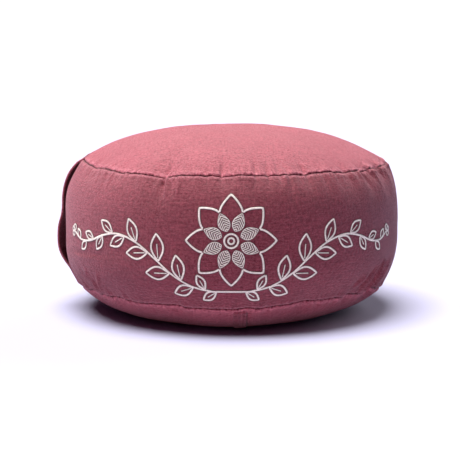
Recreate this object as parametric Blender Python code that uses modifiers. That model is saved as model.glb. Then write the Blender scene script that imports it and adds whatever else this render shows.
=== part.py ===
# Round meditation cushion with a carry strap, as closed solids.
# Metres, +Z up. The origin is the centre of the flat base. The embroidered front faces -Y and the strap is at -X.
# A turn is an angle in degrees seen from above: 0 is the front, 90 is +X, 180 the back and -90 the strap's side.
import math
from collections import namedtuple

import bmesh
import bpy
from mathutils import Vector
from mathutils.bvhtree import BVHTree

mm = 0.001

# The turned shape, before it is made uneven.
crown_height = 180 * mm
top_seam_radius = 147.5 * mm
top_seam_height = 147.5 * mm
widest_radius = 165 * mm
widest_height = 72 * mm
bottom_seam_radius = 147.5 * mm
bottom_seam_height = 25.5 * mm
base_radius = 82.5 * mm
crown_power = 3.0
upper_wall_power = 4.0
lower_wall_power = 2.1
underside_power = 2.9
turn_steps = 108
merge_distance = 0.05 * mm

# Where the rings lie: a share of each stretch, from its first end to its last.
crown_shares = (0, 0.18, 0.36, 0.52, 0.66, 0.77, 0.86, 0.92, 0.957, 0.98, 0.993)
upper_wall_shares = (1, 0.988, 0.965, 0.93, 0.87, 0.78, 0.66, 0.51, 0.34, 0.17)
lower_wall_shares = (0, 0.26, 0.48, 0.66, 0.80, 0.90, 0.96)
underside_shares = (1, 0.975, 0.94, 0.88, 0.78, 0.62, 0.42, 0.2, 0)
base_shares = (0.5, 0)

# How far the sewn shape departs from the turned one, in millimetres, at every 30 degrees of turn.
Uneven = namedtuple("Uneven", "turn top_rise top_reach wide_reach bottom_rise bottom_reach base_reach")
uneven_rows = (
    Uneven(-180, 1.5, 1.0, 0.5, -1.5, -1.0, 2.0),
    Uneven(-150, -1.0, 2.0, 0.0, 1.0, 1.0, -2.0),
    Uneven(-120, 0.5, -2.0, -0.5, 2.0, -1.0, 1.0),
    Uneven(-90, 2.5, -2.0, -0.6, -4.5, -1.0, 3.5),
    Uneven(-60, 0.0, -3.0, 0.0, 1.5, 0.0, 0.5),
    Uneven(-30, -0.5, 2.0, 0.0, 0.5, -1.5, -1.0),
    Uneven(0, 1.0, -0.5, 0.0, -0.5, 1.5, 4.5),
    Uneven(30, 0.5, -1.0, 0.0, 3.5, -0.5, -3.0),
    Uneven(60, -1.5, 1.0, -0.5, 2.5, 0.0, -7.0),
    Uneven(90, -2.0, 5.5, -0.4, -2.5, 2.0, 2.0),
    Uneven(120, -1.5, 1.0, 0.0, 1.0, 0.5, -3.0),
    Uneven(150, 1.0, -1.5, 0.5, -0.5, -1.0, 1.5),
    Uneven(180, 1.5, 1.0, 0.5, -1.5, -1.0, 2.0),
)

# The sewn channels: how deep the thread draws the cloth in, and how wide the dip is.
channel_depth = 2.4 * mm
channel_width = 2.3 * mm

# Puckers run away from a seam: across the panel and down the band. Turn and width in degrees, the rest in mm.
# Each trough has a soft ridge on either side.
Pucker = namedtuple("Pucker", "turn width panel_reach band_reach depth")
pucker_ridge = 0.9
top_puckers = (
    Pucker(-92, 9, 10, 22, 1.6),
    Pucker(-63, 4, 12, 14, 1.2),
    Pucker(-44, 4, 16, 12, 1.0),
    Pucker(-25, 5, 26, 26, 2.2),
    Pucker(-3, 4, 24, 10, 1.4),
    Pucker(12, 4, 18, 12, 1.0),
    Pucker(27, 4, 14, 16, 1.1),
    Pucker(45, 4, 12, 24, 1.6),
    Pucker(57, 4, 8, 26, 1.8),
    Pucker(69, 4, 8, 28, 1.8),
    Pucker(81, 4, 10, 22, 1.5),
    Pucker(98, 5, 18, 24, 1.4),
    Pucker(117, 4, 20, 16, 1.2),
    Pucker(139, 5, 14, 24, 1.7),
    Pucker(160, 4, 22, 14, 1.1),
    Pucker(-176, 5, 16, 22, 1.5),
    Pucker(-152, 4, 20, 14, 1.2),
    Pucker(-130, 5, 12, 24, 1.6),
)
bottom_puckers = (
    Pucker(-92, 9, 10, 20, 2.4),
    Pucker(-63, 4, 10, 20, 1.5),
    Pucker(-46, 4, 12, 14, 1.1),
    Pucker(-20, 4, 10, 10, 0.9),
    Pucker(5, 4, 12, 10, 1.2),
    Pucker(27, 4, 10, 12, 1.0),
    Pucker(49, 4, 12, 22, 1.5),
    Pucker(66, 5, 14, 34, 2.4),
    Pucker(84, 4, 10, 26, 1.8),
    Pucker(108, 5, 14, 20, 1.5),
    Pucker(134, 4, 12, 16, 1.2),
    Pucker(158, 5, 16, 22, 1.6),
    Pucker(-175, 4, 12, 12, 1.2),
    Pucker(-148, 5, 14, 24, 1.6),
    Pucker(-124, 4, 10, 16, 1.2),
)

# The lap that joins the two halves of the bottom panel, front to back.
lap_side = 7.5 * mm
lap_width = 6.5 * mm
lap_height = 1.2 * mm
relief_fade = 7 * mm

# The wall is pulled a little flat behind the strap.
flat_turn = -91
flat_width = 9
flat_depth = 1.8 * mm
flat_height = 75 * mm
flat_spread = 34 * mm

# The strap: where its middle line passes, as the height and the distance of its inner face from the axis, in mm.
strap_turn = -92
strap_width = 42 * mm
strap_thickness = 1.8 * mm
strap_columns = 6
strap_rows = 40
strap_clearance = 0.5 * mm
ray_start = 300 * mm
StrapStop = namedtuple("StrapStop", "height reach")
strap_route = (
    StrapStop(150.5, 144.0),
    StrapStop(141, 151.0),
    StrapStop(135, 155.2),
    StrapStop(123, 160.3),
    StrapStop(112, 163.0),
    StrapStop(102, 163.8),
    StrapStop(94, 165.0),
    StrapStop(88, 166.9),
    StrapStop(82, 168.3),
    StrapStop(74, 168.8),
    StrapStop(64, 168.6),
    StrapStop(58, 167.2),
    StrapStop(53, 164.9),
    StrapStop(48, 161.8),
    StrapStop(42, 157.4),
    StrapStop(36, 152.6),
    StrapStop(21.5, 144.0),
)

cloth_colour = (0.47, 0.15, 0.18, 1)
strap_colour = (0.40, 0.12, 0.15, 1)
cloth_roughness = 0.85


def eased(share):
    return share * share * (3 - 2 * share)


def row_at(rows, place):
    # The two rows around a place in their first column, and the share of the way between them.
    for low, high in zip(rows, rows[1:]):
        if place <= high[0]:
            return low, high, (place - low[0]) / (high[0] - low[0])
    return rows[-2], rows[-1], 1


def unevenness(turn):
    low, high, share = row_at(uneven_rows, turn)
    blend = eased(share)
    return Uneven(*(a + (b - a) * blend for a, b in zip(low, high)))


def wrapped(turn):
    return (turn + 180) % 360 - 180


def bump(distance, width):
    return math.exp(-((distance / width) ** 2))


def profile():
    # Radius and height down the outer side, from the crown's pole to the centre of the base.
    points = []
    for share in crown_shares:
        drop = (crown_height - top_seam_height) * share ** crown_power
        points.append((top_seam_radius * share, crown_height - drop))
    for share in upper_wall_shares:
        inward = (widest_radius - top_seam_radius) * share ** upper_wall_power
        rise = (top_seam_height - widest_height) * share
        points.append((widest_radius - inward, widest_height + rise))
    for share in lower_wall_shares:
        inward = (widest_radius - bottom_seam_radius) * share ** lower_wall_power
        drop = (widest_height - bottom_seam_height) * share
        points.append((widest_radius - inward, widest_height - drop))
    for share in underside_shares:
        radius = base_radius + (bottom_seam_radius - base_radius) * share
        points.append((radius, bottom_seam_height * share ** underside_power))
    for share in base_shares:
        points.append((base_radius * share, 0))
    return points


def sewn_point(radius, height, turn):
    # Moves a point of the turned shape to the uneven one: each stretch keeps its own curve between moved seams.
    u = unevenness(turn)
    top_radius = top_seam_radius + u.top_reach * mm
    top_height = top_seam_height + u.top_rise * mm
    wide_radius = widest_radius + u.wide_reach * mm
    low_radius = bottom_seam_radius + u.bottom_reach * mm
    low_height = bottom_seam_height + u.bottom_rise * mm
    rest_radius = base_radius + u.base_reach * mm
    if height > top_seam_height:
        share = radius / top_seam_radius
        return top_radius * share, crown_height - (crown_height - top_height) * share ** crown_power
    if height > widest_height:
        share = (height - widest_height) / (top_seam_height - widest_height)
        inward = (wide_radius - top_radius) * share ** upper_wall_power
        return wide_radius - inward, widest_height + (top_height - widest_height) * share
    if height > bottom_seam_height:
        share = (widest_height - height) / (widest_height - bottom_seam_height)
        inward = (wide_radius - low_radius) * share ** lower_wall_power
        return wide_radius - inward, widest_height - (widest_height - low_height) * share
    if radius > base_radius:
        share = (radius - base_radius) / (bottom_seam_radius - base_radius)
        return rest_radius + (low_radius - rest_radius) * share, low_height * share ** underside_power
    return radius * rest_radius / base_radius, 0


def pucker_relief(puckers, turn, distance, on_panel):
    total = 0
    for row in puckers:
        across = wrapped(turn - row.turn) / row.width
        reach = (row.panel_reach if on_panel else row.band_reach) * mm
        trough = (1 - pucker_ridge * across * across) * bump(across, 1)
        total -= row.depth * mm * trough * bump(distance, reach)
    return total


def relief(radius, height, turn):
    # How far the cloth stands out from the sewn shape, along the surface's normal.
    from_top = math.hypot(radius - top_seam_radius, height - top_seam_height)
    from_bottom = math.hypot(radius - bottom_seam_radius, height - bottom_seam_height)
    total = -channel_depth * (bump(from_top, channel_width) + bump(from_bottom, channel_width))
    total += pucker_relief(top_puckers, turn, from_top, height > top_seam_height)
    total += pucker_relief(bottom_puckers, turn, from_bottom, height < bottom_seam_height)
    behind_strap = bump(wrapped(turn - flat_turn), flat_width) * bump(height - flat_height, flat_spread)
    total -= flat_depth * behind_strap
    if height < bottom_seam_height:
        side = radius * math.sin(math.radians(turn))
        total += lap_height * bump(side - lap_side, lap_width)
        total *= min(1, height / relief_fade)
    return total


def link_mesh(name, mesh, colour, collection):
    material = bpy.data.materials.new(name)
    material.use_nodes = True
    shader = material.node_tree.nodes["Principled BSDF"]
    shader.inputs["Base Color"].default_value = colour
    shader.inputs["Roughness"].default_value = cloth_roughness
    shader.inputs["Metallic"].default_value = 0
    mesh.name = name
    mesh.materials.clear()
    mesh.materials.append(material)
    thing = bpy.data.objects.new(name, mesh)
    collection.objects.link(thing)
    return thing


def turned_mesh():
    # The profile, turned by a Screw modifier and made a plain mesh whose points can be moved.
    outline = bpy.data.meshes.new("profile")
    points = [(radius, 0, height) for radius, height in profile()]
    outline.from_pydata(points, [(i, i + 1) for i in range(len(points) - 1)], [])
    guide = bpy.data.objects.new("profile", outline)
    bpy.context.scene.collection.objects.link(guide)
    screw = guide.modifiers.new("turn", "SCREW")
    screw.steps = turn_steps
    screw.render_steps = turn_steps
    screw.use_merge_vertices = True
    screw.merge_threshold = merge_distance
    turned = bpy.data.meshes.new_from_object(guide.evaluated_get(bpy.context.evaluated_depsgraph_get()))
    bpy.data.objects.remove(guide)
    bpy.data.meshes.remove(outline)
    return turned


def make_cushion(collection):
    mesh = turned_mesh()
    shape = bmesh.new()
    shape.from_mesh(mesh)
    turned_at = []
    for vert in shape.verts:
        x, y, height = vert.co
        radius = math.hypot(x, y)
        turn = math.degrees(math.atan2(x, -y))
        turned_at.append((radius, height, turn))
        new_radius, new_height = sewn_point(radius, height, turn)
        stretch = new_radius / radius if radius else 1
        vert.co = Vector((x * stretch, y * stretch, new_height))
    shape.normal_update()
    offsets = [vert.normal * relief(*place) for vert, place in zip(shape.verts, turned_at)]
    for vert, offset in zip(shape.verts, offsets):
        vert.co += offset
    shape.to_mesh(mesh)
    shape.free()
    mesh.shade_smooth()
    return link_mesh("cushion", mesh, cloth_colour, collection)


def held_reach(cushion_faces, outward, sideways, aside, height):
    # How far the finished cushion reaches towards the strap at a height, measured by a ray from outside.
    start = outward * ray_start + sideways * aside + Vector((0, 0, height))
    hit = cushion_faces.ray_cast(start, -outward)[0]
    return hit.dot(outward) if hit else 0


def route_reach(height):
    # The route's inner face at a height, smoothed through the stops.
    rising = tuple(reversed(strap_route))
    low, high, share = row_at(rising, height / mm)
    first = rising.index(low)
    before = rising[max(first - 1, 0)].reach
    after = rising[min(first + 2, len(rising) - 1)].reach
    slope_in = (high.reach - before) / 2
    slope_out = (after - low.reach) / 2
    square = share * share
    cube = square * share
    curve = (2 * cube - 3 * square + 1) * low.reach + (cube - 2 * square + share) * slope_in
    curve += (3 * square - 2 * cube) * high.reach + (cube - square) * slope_out
    return curve * mm


def make_strap(collection, cushion):
    points = [vert.co for vert in cushion.data.vertices]
    cushion_faces = BVHTree.FromPolygons(points, [face.vertices for face in cushion.data.polygons])
    mesh = bpy.data.meshes.new("carry_strap")
    shape = bmesh.new()
    bmesh.ops.create_grid(shape, x_segments=strap_columns, y_segments=strap_rows, size=0.5)
    angle = math.radians(strap_turn)
    outward = Vector((math.sin(angle), -math.cos(angle), 0))
    sideways = Vector((math.cos(angle), math.sin(angle), 0))
    top = strap_route[0].height * mm
    bottom = strap_route[-1].height * mm
    for vert in shape.verts:
        aside = vert.co.x * strap_width
        height = bottom + (top - bottom) * (vert.co.y + 0.5)
        held = held_reach(cushion_faces, outward, sideways, aside, height) + strap_clearance
        vert.co = outward * max(route_reach(height), held) + sideways * aside + Vector((0, 0, height))
    bmesh.ops.recalc_face_normals(shape, faces=shape.faces)
    middle = min(shape.faces, key=lambda face: abs(face.calc_center_median().z - widest_height))
    if middle.normal.dot(outward) < 0:
        bmesh.ops.reverse_faces(shape, faces=shape.faces)
    shape.to_mesh(mesh)
    shape.free()
    mesh.shade_smooth()
    strap = link_mesh("carry_strap", mesh, strap_colour, collection)
    wall = strap.modifiers.new("thickness", "SOLIDIFY")
    wall.thickness = strap_thickness
    wall.offset = 1
    return strap


def main():
    for old in list(bpy.data.objects):
        bpy.data.objects.remove(old)
    collection = bpy.data.collections.new("meditation_cushion")
    bpy.context.scene.collection.children.link(collection)
    cushion = make_cushion(collection)
    make_strap(collection, cushion)


main()
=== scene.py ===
import math
import random

import bpy
import numpy as np
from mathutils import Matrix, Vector, noise
from mathutils.bvhtree import BVHTree


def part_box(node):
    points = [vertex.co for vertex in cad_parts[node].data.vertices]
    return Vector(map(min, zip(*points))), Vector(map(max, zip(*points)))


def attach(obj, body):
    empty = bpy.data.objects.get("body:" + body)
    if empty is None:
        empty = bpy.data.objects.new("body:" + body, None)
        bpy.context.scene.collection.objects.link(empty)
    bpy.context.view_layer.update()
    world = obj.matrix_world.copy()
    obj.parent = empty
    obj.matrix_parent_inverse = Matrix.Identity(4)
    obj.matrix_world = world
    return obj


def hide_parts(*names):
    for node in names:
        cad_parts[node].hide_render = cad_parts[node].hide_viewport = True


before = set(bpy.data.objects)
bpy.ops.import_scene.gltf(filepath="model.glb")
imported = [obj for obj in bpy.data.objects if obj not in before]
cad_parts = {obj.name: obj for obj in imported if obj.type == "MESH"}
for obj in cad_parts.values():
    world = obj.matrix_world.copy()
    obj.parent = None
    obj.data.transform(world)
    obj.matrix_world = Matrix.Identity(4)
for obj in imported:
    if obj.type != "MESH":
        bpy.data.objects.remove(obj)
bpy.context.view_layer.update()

# Round meditation cushion with an embroidered band and a carry strap.
# Metres, +Z up. A turn is an angle seen from above, in degrees: 0 is the front (-Y), 90 is +X, and the
# strap is at about -90.
mm = 0.001
scene = bpy.context.scene
scene.view_settings.view_transform = "Standard"
scene.view_settings.look = "None"


def newObject(name, data):
    thing = bpy.data.objects.new(name, data)
    scene.collection.objects.link(thing)
    return thing


# ---- camera, light and floor

studio = {
    "cameraPlace": (-0.0011, -1.5828, 0.3104),
    "cameraAim": (-0.0011, 0.0, 0.0767),
    "lens": 125.84,
    "sensor": 36,
    "skyColour": (0.9, 0.81, 1.3),
    "skyGlow": 0.02,
    "floorRadius": 120,
    "discCorners": 96,
    "floorColour": (0.43, 0.46, 0.63),
    "shadowedRadius": 0.185,
}

# Each lamp: the side it shines from, how wide it looks in degrees, strength, colour.
lamps = {
    "overheadLamp": ((-0.36, 0.10, 0.92), 42, 9.0, (1.0, 0.91, 0.86)),
    "backLamp": ((-0.08, 0.8, 1.15), 50, 4.8, (1.0, 0.91, 0.86)),
    "lowLamp": ((-0.25, -0.92, -0.26), 50, 1.55, (1.0, 0.72, 0.66)),
    "floorLamp": ((-0.16, -0.07, 0.95), 45, 7.4, (1.0, 0.91, 0.86)),
    "floorFillLamp": ((0.7, 0.8, 0.44), 50, 2.0, (1.0, 0.91, 0.86)),
}


def makeCamera():
    camera = newObject("camera", bpy.data.cameras.new("camera"))
    camera.location = studio["cameraPlace"]
    aim = Vector(studio["cameraAim"]) - camera.location
    camera.rotation_euler = aim.to_track_quat("-Z", "Y").to_euler()
    camera.data.lens = studio["lens"]
    camera.data.sensor_width = studio["sensor"]
    camera.data.clip_end = 500
    scene.camera = camera


def makeLights():
    for name, (side, spread, strength, colour) in lamps.items():
        lamp = bpy.data.lights.new(name, "SUN")
        lamp.energy = strength
        lamp.color = colour
        lamp.angle = math.radians(spread)
        holder = newObject(name, lamp)
        holder.rotation_euler = Vector(side).to_track_quat("Z", "Y").to_euler()
        holder.visible_glossy = side[2] > 0

    # The air looks plain white, but lights the cushion as a dim violet dome.
    world = bpy.data.worlds.new("studioAir")
    world.use_nodes = True
    tree = world.node_tree
    background = tree.nodes["Background"]
    seen = tree.nodes.new("ShaderNodeLightPath")
    colours = tree.nodes.new("ShaderNodeMix")
    colours.data_type = "RGBA"
    dome = [part * studio["skyGlow"] for part in studio["skyColour"]]
    colours.inputs["A"].default_value = (*dome, 1)
    colours.inputs["B"].default_value = (1, 1, 1, 1)
    tree.links.new(seen.outputs["Is Camera Ray"], colours.inputs["Factor"])
    tree.links.new(colours.outputs["Result"], background.inputs["Color"])
    scene.world = world


def paperDisc(name, radius, paper):
    bpy.ops.mesh.primitive_circle_add(vertices=studio["discCorners"], radius=radius, fill_type="NGON")
    disc = bpy.context.object
    disc.name = name
    disc.data.materials.append(paper)
    return disc


def makeFloor():
    paper = bpy.data.materials.new("paleFloor")
    paper.use_nodes = True
    shader = paper.node_tree.nodes["Principled BSDF"]
    shader.inputs["Base Color"].default_value = (*studio["floorColour"], 1)
    shader.inputs["Roughness"].default_value = 0.95
    shader.inputs["Specular IOR Level"].default_value = 0.1
    floor = paperDisc("studioFloor", studio["floorRadius"], paper)
    # The floor has two soft lamps to itself and takes no light from the others.
    # The low lamp stands for light thrown back by the paper in front, so the floor doesn't stop it either,
    # but a disc under the floor does, because the paper close to the cushion is in shadow.
    disc = paperDisc("shadowedPaper", studio["shadowedRadius"], paper)
    disc.location = (0, 0, -1 * mm)
    linked = {}
    for name, state in (("floorAlone", "INCLUDE"), ("allButTheFloor", "EXCLUDE")):
        linked[name] = bpy.data.collections.new(name)
        linked[name].objects.link(floor)
        linked[name].collection_objects[0].light_linking.link_state = state
    for name in lamps:
        group = "floorAlone" if name.startswith("floor") else "allButTheFloor"
        bpy.data.objects[name].light_linking.receiver_collection = linked[group]
    bpy.data.objects["lowLamp"].light_linking.blocker_collection = linked["allButTheFloor"]


makeCamera()
makeLights()
makeFloor()
print("camera, light and floor are in place")


# ---- cloth and thread finishes

# The panel light factors (top, band, bottom) multiply the one cloth colour. They are painted light and shade
# that make up for light the lamps don't give, and aren't different cloths.
cloth = {
    "deep": (0.092, 0.0092, 0.0185, 1),
    "middle": (0.202, 0.0275, 0.0490, 1),
    "light": (0.345, 0.0700, 0.1030, 1),
    "paleForWearAndLight": (0.46, 0.16, 0.21, 1),
    # Painted shadow: the colour of the dark line in a seam's groove.
    "groove": (0.045, 0.002, 0.007, 1),
    "threadPitch": 0.46,
    "slubLength": 19.0,
    "slubHeight": 1.25,
    "roughness": 0.6,
    "gloss": 0.2,
    "seamShadowWidth": 1.05,
    "tuckPitch": 1.9,
    "tuckReach": 12.0,
    "tuckHeight": 1.6 * mm,
    "panelLightFactors": (1.155, 0.86, 1.42),
    "topPaintedLight": 0.13,
    "sheen": 0.32,
    "sheenRoughness": 0.4,
    "sheenTint": (1.0, 0.62, 0.74, 1),
}


class Nodes:
    # Short calls for a material's or a modifier's node tree.
    def __init__(self, tree):
        self.tree = tree

    def add(self, kind, **settings):
        made = self.tree.nodes.new(kind)
        for name, value in settings.items():
            setattr(made, name, value)
        return made

    def plug(self, socket, value):
        if isinstance(value, bpy.types.NodeSocket):
            self.tree.links.new(value, socket)
        elif value is not None:
            socket.default_value = value

    def put(self, kind, inputs, **settings):
        # A node with its inputs plugged in, by name or by number.
        made = self.add(kind, **settings)
        for label, value in inputs.items():
            self.plug(made.inputs[label], value)
        return made

    def math(self, operation, first, second=None, clamp=False):
        made = self.put("ShaderNodeMath", {0: first, 1: second}, operation=operation, use_clamp=clamp)
        return made.outputs[0]

    def times(self, first, second, clamp=False):
        return self.math("MULTIPLY", first, second, clamp)

    def plus(self, first, second):
        return self.math("ADD", first, second)

    def scaled(self, vector, factors):
        return self.put("ShaderNodeVectorMath", {0: vector, 1: factors}, operation="MULTIPLY").outputs[0]

    def noise(self, vector, detail=2.0, rough=0.5, flat=False):
        inputs = {"Vector": vector, "Scale": 1, "Detail": detail, "Roughness": rough}
        return self.put("ShaderNodeTexNoise", inputs, noise_dimensions="2D" if flat else "3D").outputs["Fac"]

    def flatNoise(self, place, perX, perY, detail, rough):
        return self.noise(self.scaled(place, (perX, perY, 1)), detail, rough, flat=True)

    def blend(self, share, first, second, kind="MIX"):
        inputs = {"Factor": share, "A": first, "B": second}
        return self.put("ShaderNodeMix", inputs, data_type="RGBA", blend_type=kind).outputs["Result"]

    def shaded(self, colour, shade):
        # A colour made darker or lighter by one number.
        grey = self.put("ShaderNodeCombineXYZ", {0: shade, 1: shade, 2: shade})
        return self.blend(1.0, colour, grey.outputs[0], "MULTIPLY")

    def spread(self, value, low, high, start=0.0, end=1.0):
        inputs = {"Value": value, "From Min": low, "From Max": high, "To Min": start, "To Max": end}
        return self.put("ShaderNodeMapRange", inputs, clamp=True).outputs["Result"]

    def attribute(self, name):
        return self.add("ShaderNodeAttribute", attribute_name=name).outputs["Fac"]

    def bump(self, height, distance, strength=1.0, before=None):
        inputs = {"Strength": strength, "Distance": distance, "Height": height, "Normal": before}
        return self.put("ShaderNodeBump", inputs).outputs["Normal"]


def newMaterial(name):
    material = bpy.data.materials.new(name)
    material.use_nodes = True
    return material, Nodes(material.node_tree), material.node_tree.nodes["Principled BSDF"]


def linenCloth(name, sewn=False):
    # Plain weave in two sets of uneven threads, on the piece's own cloth map, which is in metres.
    # A sewn piece also has a seam map: metres along the nearest seam, and away from it.
    material, build, shader = newMaterial(name)
    cut = build.add("ShaderNodeUVMap", uv_map="clothUv").outputs[0]
    inMillimetres = build.scaled(cut, (1000, 1000, 1000))

    # Slubs: long thin streaks along the weft, fewer and shorter ones along the warp.
    length = cloth["slubLength"]
    height = cloth["slubHeight"]
    weftSlub = build.flatNoise(inMillimetres, 1 / length, 1 / height, 3, 0.55)
    warpSlub = build.flatNoise(inMillimetres, 0.9 / height, 1.6 / length, 3, 0.55)
    grain = build.flatNoise(inMillimetres, 0.36, 0.50, 3, 0.8)
    patch = build.flatNoise(inMillimetres, 0.021, 0.027, 3, 0.5)

    # The weave: each thread is a rounded ridge that passes over and under its neighbours.
    pitch = cloth["threadPitch"]
    drift = {"Vector": build.scaled(inMillimetres, (0.16, 0.16, 1)), "Scale": 1, "Detail": 2}
    drift = build.put("ShaderNodeTexNoise", drift, noise_dimensions="2D").outputs["Color"]
    swayed = {0: drift, 1: (1.1, 1.1, 0), 2: inMillimetres}
    swayed = build.put("ShaderNodeVectorMath", swayed, operation="MULTIPLY_ADD").outputs[0]
    perThread = build.scaled(swayed, (math.pi / pitch, math.pi / pitch, 1))
    threads = build.put("ShaderNodeSeparateXYZ", {0: perThread})
    warpWave = build.math("SINE", threads.outputs["X"])
    weftWave = build.math("SINE", threads.outputs["Y"])
    warpRidge = build.math("ABSOLUTE", warpWave)
    weftRidge = build.math("ABSOLUTE", weftWave)
    crossing = build.times(warpWave, weftWave)
    over = build.spread(crossing, -0.35, 0.35)
    warpPart = build.times(warpRidge, over)
    under = build.math("SUBTRACT", 1.0, over)
    weftPart = build.times(weftRidge, under)
    weave = build.plus(warpPart, weftPart)

    streaks = build.plus(build.times(weftSlub, 0.62), build.times(warpSlub, 0.38))
    mixed = build.plus(build.times(streaks, 0.45), build.times(grain, 0.55))
    depth = build.spread(mixed, 0.37, 0.63)
    colour = build.blend(depth, cloth["deep"], cloth["light"])
    colour = build.blend(0.2, colour, cloth["middle"])
    weaveShade = build.spread(weave, 0.15, 0.95, 0.84, 1.05)
    patchShade = build.spread(patch, 0.3, 0.7, 0.95, 1.05)
    shade = build.times(weaveShade, patchShade)
    colour = build.shaded(colour, shade)

    # Sewn edges are worn paler, with a painted highlight on the seam lips, and the top is painted a little
    # paler as painted light.
    wear = build.attribute("wearAndPaintedLight")
    wornAndLit = build.times(wear, build.spread(grain, 0.35, 0.65, 0.05, 0.6), True)
    colour = build.blend(wornAndLit, colour, cloth["paleForWearAndLight"])
    tucks = None
    if sewn:
        colour, tucks = seamPaintedShading(build, colour)
    build.plug(shader.inputs["Base Color"], colour)

    rough = build.spread(mixed, 0.3, 0.7, cloth["roughness"] + 0.08, cloth["roughness"] - 0.1)
    build.plug(shader.inputs["Roughness"], rough)
    shader.inputs["Specular IOR Level"].default_value = cloth["gloss"]
    shader.inputs["Sheen Weight"].default_value = cloth["sheen"]
    shader.inputs["Sheen Roughness"].default_value = cloth["sheenRoughness"]
    shader.inputs["Sheen Tint"].default_value = cloth["sheenTint"]

    rumple = build.flatNoise(inMillimetres, 0.13, 0.17, 3, 0.55)
    normal = build.bump(rumple, 0.75 * mm, 0.8)
    normal = build.bump(streaks, 0.24 * mm, 0.9, normal)
    normal = build.bump(grain, 2.0 * mm, 0.9, normal)
    normal = build.bump(weave, 0.16 * mm, 0.75, normal)
    if tucks:
        normal = build.bump(tucks, cloth["tuckHeight"], 1.0, normal)
    build.plug(shader.inputs["Normal"], normal)
    return material


def seamPaintedShading(build, colour):
    # Little tucks that run out of a seam, with painted light and shade along them, and the dark ragged line
    # where the two edges meet, a painted shadow in the seam's groove.
    # Each panel is multiplied by its own painted light factor here.
    seamMap = build.add("ShaderNodeUVMap", uv_map="seamUv").outputs[0]
    place = build.scaled(seamMap, (1000, 1000, 1000))
    parts = build.put("ShaderNodeSeparateXYZ", {0: place})
    away = build.math("ABSOLUTE", parts.outputs["Y"])
    amount = build.attribute("gathering")
    near = build.spread(away, 0.0, cloth["tuckReach"], 1.0, 0.0)
    fade = build.times(build.times(near, near), amount)
    fine = build.flatNoise(place, 1 / cloth["tuckPitch"], 0.055, 2, 0.6)
    # Painted light and shade: the tucks' crests are coloured lighter and their hollows darker.
    crest = build.times(build.math("SUBTRACT", fine, 0.5), fade)
    shade = build.spread(crest, -0.16, 0.16, 0.76, 1.20)
    shade = build.times(shade, build.attribute("panelPaintedLight"))
    colour = build.shaded(colour, shade)

    # Painted shadow: a dark ragged line along the seam's groove.
    ragged = build.flatNoise(place, 0.75, 0.2, 2, 0.7)
    drift = build.times(build.math("SUBTRACT", ragged, 0.5), 2.2)
    edge = build.plus(away, drift)
    line = build.spread(edge, cloth["seamShadowWidth"] * 0.5, cloth["seamShadowWidth"] * 1.3, 1.0, 0.0)
    bite = build.flatNoise(place, 0.22, 0.0, 2, 0.6)
    line = build.times(line, build.spread(bite, 0.36, 0.56, 0.35, 1.0))
    return build.blend(line, colour, cloth["groove"]), crest


silverTones = {
    "dull": (0.62, 0.61, 0.57, 1),
    "bright": (0.90, 0.88, 0.82, 1),
    "twist": (0.28, 0.25, 0.26, 1),
}


def threadFinish(name, twistPitch):
    # What all threads share: each stitch has its own tone, with a fine twist along it.
    material, build, shader = newMaterial(name)
    place = build.add("ShaderNodeTexCoord").outputs["Object"]
    tone = build.attribute("threadTone")
    fine = build.noise(build.scaled(place, (twistPitch, twistPitch, twistPitch)), 2, 0.6)
    build.plug(shader.inputs["Normal"], build.bump(fine, 0.06 * mm, 0.6))
    return material, build, shader, tone, fine


def silverThread(name):
    # Shiny filament thread: pale and a little glossy.
    material, build, shader, tone, fine = threadFinish(name, 2600)
    colour = build.blend(tone, silverTones["dull"], silverTones["bright"])
    colour = build.blend(build.spread(fine, 0.3, 0.7, 0.22, 0.0), colour, silverTones["twist"])
    build.plug(shader.inputs["Base Color"], colour)
    build.plug(shader.inputs["Roughness"], build.spread(tone, 0, 1, 0.42, 0.30))
    shader.inputs["Specular IOR Level"].default_value = 0.9
    shader.inputs["Sheen Weight"].default_value = 0.25
    shader.inputs["Sheen Roughness"].default_value = 0.3
    return material


def sewingThread(name, dark, pale):
    # Matt polyester thread: dyed to the cloth, and near-black for painted shadow lines.
    material, build, shader, tone, fine = threadFinish(name, 2400)
    build.plug(shader.inputs["Base Color"], build.blend(tone, dark, pale))
    build.plug(shader.inputs["Roughness"], build.spread(fine, 0.3, 0.7, 0.5, 0.7))
    shader.inputs["Sheen Weight"].default_value = 0.2
    return material


roseLinen = linenCloth("roseLinen", sewn=True)
lapLinen = linenCloth("lapLinen")
strapLinen = linenCloth("strapLinen")
silver = silverThread("silverThread")
roseThread = sewingThread("roseThread", (0.30, 0.062, 0.092, 1), (0.42, 0.11, 0.15, 1))
# Near-black thread, laid as painted shadow.
shadowThread = sewingThread("shadowThread", (0.040, 0.005, 0.010, 1), (0.070, 0.010, 0.018, 1))
print("finishes made")


# ---- the cushion's sewn cover

cushion = {
    "crownHeight": 180 * mm,
    "topRadius": 147.5 * mm,
    "topHeight": 147.5 * mm,
    "widestRadius": 165 * mm,
    "widestHeight": 72 * mm,
    "lowRadius": 147.5 * mm,
    "lowHeight": 25.5 * mm,
    "restRadius": 82.5 * mm,
    "crownPower": 3.0,
    "upperPower": 4.0,
    "lowerPower": 2.1,
    "underPower": 2.9,
    "columns": 720,
    "seamSpacing": 0.34 * mm,
    "crownSpacing": 4.0 * mm,
    "bandSpacing": 2.1 * mm,
    "baseSpacing": 5.5 * mm,
    "spacingGrowth": 1.22,
}

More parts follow.
